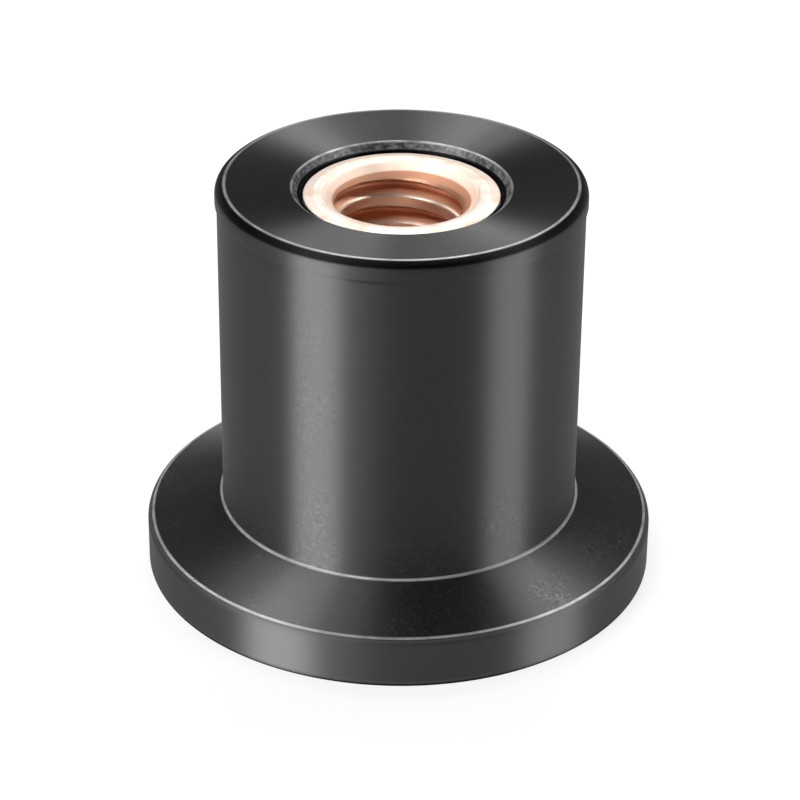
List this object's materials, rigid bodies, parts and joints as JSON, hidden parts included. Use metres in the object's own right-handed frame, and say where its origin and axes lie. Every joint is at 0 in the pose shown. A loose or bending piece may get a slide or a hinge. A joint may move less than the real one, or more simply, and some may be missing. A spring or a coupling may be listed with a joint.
{
  "type": "well nut",
  "caption": "Blind fastener: a flanged rubber sleeve moulded round a threaded brass insert, which bulges behind a panel as its screw is tightened.",
  "frame": {"origin": "centre of the flange's flat face, where the screw comes in", "axes": "+Z along the bore, from the flange to the insert's end; X and Y are free, because the part is round"},
  "size_m": [0.0228, 0.0226, 0.0183],
  "materials": {
    "rubber": "satin moulded rubber with a faint bloom",
    "brass": "turned, bright"
  },
  "bodies": {
    "root": {"rubber_sleeve": "rubber", "brass_insert": "brass"}
  },
  "joints": []
}
